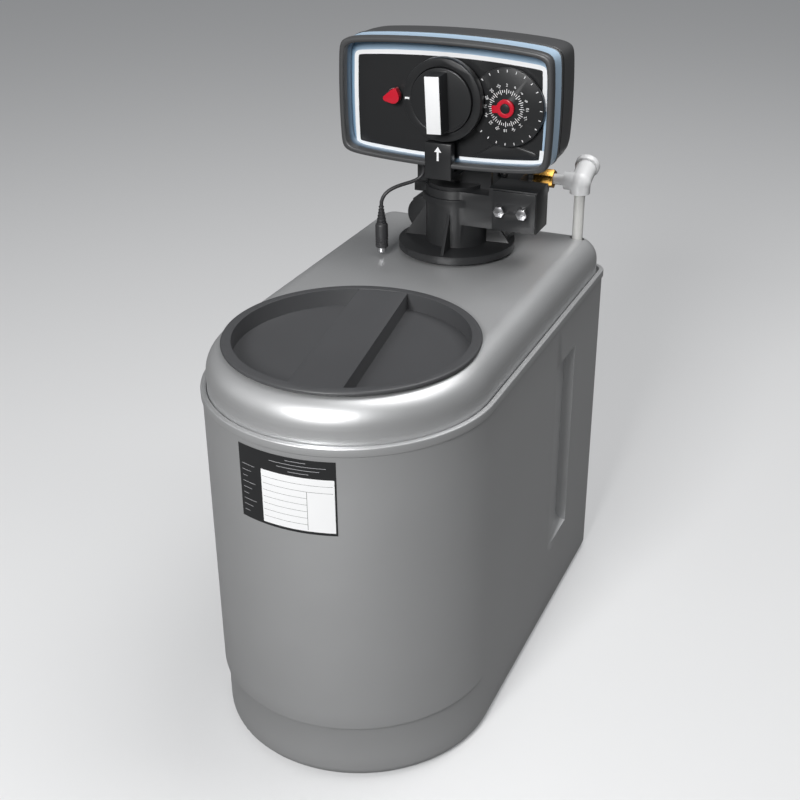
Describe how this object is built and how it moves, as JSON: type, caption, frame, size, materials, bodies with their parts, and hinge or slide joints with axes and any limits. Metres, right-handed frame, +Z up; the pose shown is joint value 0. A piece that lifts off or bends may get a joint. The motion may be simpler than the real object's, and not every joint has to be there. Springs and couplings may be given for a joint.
{
  "type": "water softener",
  "caption": "Compact cabinet water softener: round-fronted silver salt cabinet with a lift-off dark lid, and a control valve on a resin tank under a time-clock head.",
  "frame": {"origin": "on the floor, in the middle of the box round the object, without its power lead", "axes": "+Z up, front facing -Y, +X to the right seen from the front"},
  "size_m": [0.23, 0.448, 0.52],
  "materials": {
    "silver_plastic": "satin silver moulded plastic",
    "lid_plastic": "dark grey moulded plastic",
    "plate_print": "black plate with a pale ruled panel",
    "black_plastic": "black moulded plastic",
    "head_plastic": "grey-black moulded plastic",
    "panel_print": "black panel with blue band and white lines",
    "grey_plastic": "grey moulded plastic",
    "white_plastic": "white moulded plastic",
    "clear_tube": "pale plastic tube",
    "red_plastic": "red moulded plastic",
    "tank_shell": "wound composite tank",
    "resin": "amber resin beads",
    "seal_rubber": "black rubber",
    "lead_rubber": "black lead",
    "brass": "turned brass",
    "steel": "plated steel"
  },
  "bodies": {
    "softener": {"cabinet_body": "silver_plastic", "cabinet_cover": "silver_plastic", "rating_plate": "plate_print", "overflow_fitting": "black_plastic", "overflow_nut": "black_plastic", "overflow_seal": "seal_rubber", "resin_tank": "tank_shell", "tank_boot": "black_plastic", "riser_tube": "white_plastic", "lower_strainer": "grey_plastic", "upper_strainer": "grey_plastic", "resin_bed": "resin", "neck_seal": "seal_rubber", "brine_well": "white_plastic", "well_cap": "grey_plastic", "air_check": "white_plastic", "brine_tube": "clear_tube", "brine_tee": "white_plastic", "tee_collar": "white_plastic", "brass_fitting": "brass", "valve_body": "black_plastic", "end_plug": "grey_plastic", "plug_retainer": "grey_plastic", "seal_stack": "seal_rubber", "spacer_stack": "grey_plastic", "injector_cover": "black_plastic", "injector_nozzle": "red_plastic", "injector_screws": "steel", "brine_spring": "steel", "inlet_fitting": "black_plastic", "outlet_fitting": "black_plastic", "port_clips": "red_plastic", "drain_fitting": "black_plastic", "head_bezel": "head_plastic", "face_panel": "panel_print", "back_shell": "head_plastic", "drive_plate": "grey_plastic", "drive_motor": "steel", "button_spring": "steel", "time_tab": "black_plastic", "plate_screws": "steel", "head_screws": "steel", "lead_gland": "lead_rubber", "power_lead": "lead_rubber", "lead_connector": "lead_rubber"},
    "lid": {"salt_lid": "lid_plastic"},
    "knob": {"program_knob": "black_plastic", "knob_strip": "white_plastic", "crank_disc": "white_plastic"},
    "dial": {"day_dial": "black_plastic"},
    "pinion": {"drive_pinion": "white_plastic"},
    "button": {"set_button": "red_plastic"},
    "wheel": {"meter_wheel": "black_plastic"},
    "pointer": {"capacity_pointer": "red_plastic"},
    "piston": {"piston": "brass", "piston_rod": "steel"},
    "stem": {"brine_stem": "steel"},
    "float": {"float_rod": "white_plastic", "brine_float": "white_plastic"}
  },
  "joints": [
    {"name": "lid_lift", "type": "slide", "parent": "softener", "child": "lid", "axis": [0, 0, 1], "range_m": [0, 0.15]},
    {"name": "program_knob_turn", "type": "hinge", "parent": "softener", "child": "knob", "pos_m": [0, 0.0795, 0.4715], "axis": [0, 1, 0], "continuous": true},
    {"name": "day_dial_turn", "type": "hinge", "parent": "softener", "child": "dial", "pos_m": [0, 0.0795, 0.4715], "axis": [0, 1, 0], "continuous": true},
    {"name": "drive_pinion_turn", "type": "hinge", "parent": "softener", "child": "pinion", "pos_m": [-0.04791, 0.0895, 0.4685], "axis": [0, 1, 0], "continuous": true},
    {"name": "set_button_push", "type": "slide", "parent": "softener", "child": "button", "axis": [0, 1, 0], "range_m": [0, 0.003], "stiffness_N_per_m": 300, "springref_m": -0.001, "deforming": ["button_spring"]},
    {"name": "meter_wheel_turn", "type": "hinge", "parent": "softener", "child": "wheel", "pos_m": [0.052, 0.078, 0.468], "axis": [0, 1, 0], "continuous": true},
    {"name": "capacity_pointer_turn", "type": "hinge", "parent": "wheel", "child": "pointer", "pos_m": [0.052, 0.078, 0.468], "axis": [0, 1, 0], "continuous": true},
    {"name": "piston_slide", "type": "slide", "parent": "softener", "child": "piston", "axis": [0, 0, 1], "range_m": [0, 0.0235]},
    {"name": "brine_stem_push", "type": "slide", "parent": "softener", "child": "stem", "axis": [0, 0, -1], "range_m": [0, 0.004], "stiffness_N_per_m": 500, "springref_m": -0.002, "deforming": ["brine_spring"]},
    {"name": "float_rise", "type": "slide", "parent": "softener", "child": "float", "axis": [0, 0, 1], "range_m": [0, 0.06]}
  ],
  "couplings": [
    {"joint": "drive_pinion_turn", "follows": "day_dial_turn", "ratio": -3}
  ]
}
